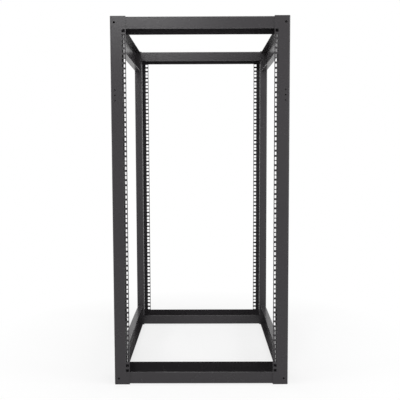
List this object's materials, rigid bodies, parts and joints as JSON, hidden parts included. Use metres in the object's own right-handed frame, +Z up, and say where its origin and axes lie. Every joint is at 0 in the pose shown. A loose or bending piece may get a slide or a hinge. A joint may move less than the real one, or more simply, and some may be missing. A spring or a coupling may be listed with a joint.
{
  "type": "four post open frame rack",
  "caption": "Open equipment rack of folded sheet-steel posts and beams, with square holes up each post for cage nuts and rack-mounted equipment.",
  "frame": {"origin": "on the floor, in the middle of the rack's width and depth", "axes": "+X to the right seen from the front, +Y from front to rear, +Z up"},
  "size_m": [0.5462, 0.762, 1.143],
  "materials": {
    "powder_coat": "black satin powder coat on folded sheet steel"
  },
  "bodies": {
    "root": {"front_left_post": "powder_coat", "front_right_post": "powder_coat", "rear_left_post": "powder_coat", "rear_right_post": "powder_coat", "front_bottom_beam": "powder_coat", "rear_bottom_beam": "powder_coat", "front_top_beam": "powder_coat", "rear_top_beam": "powder_coat", "left_bottom_beam": "powder_coat", "right_bottom_beam": "powder_coat", "left_top_beam": "powder_coat", "right_top_beam": "powder_coat"}
  },
  "joints": []
}
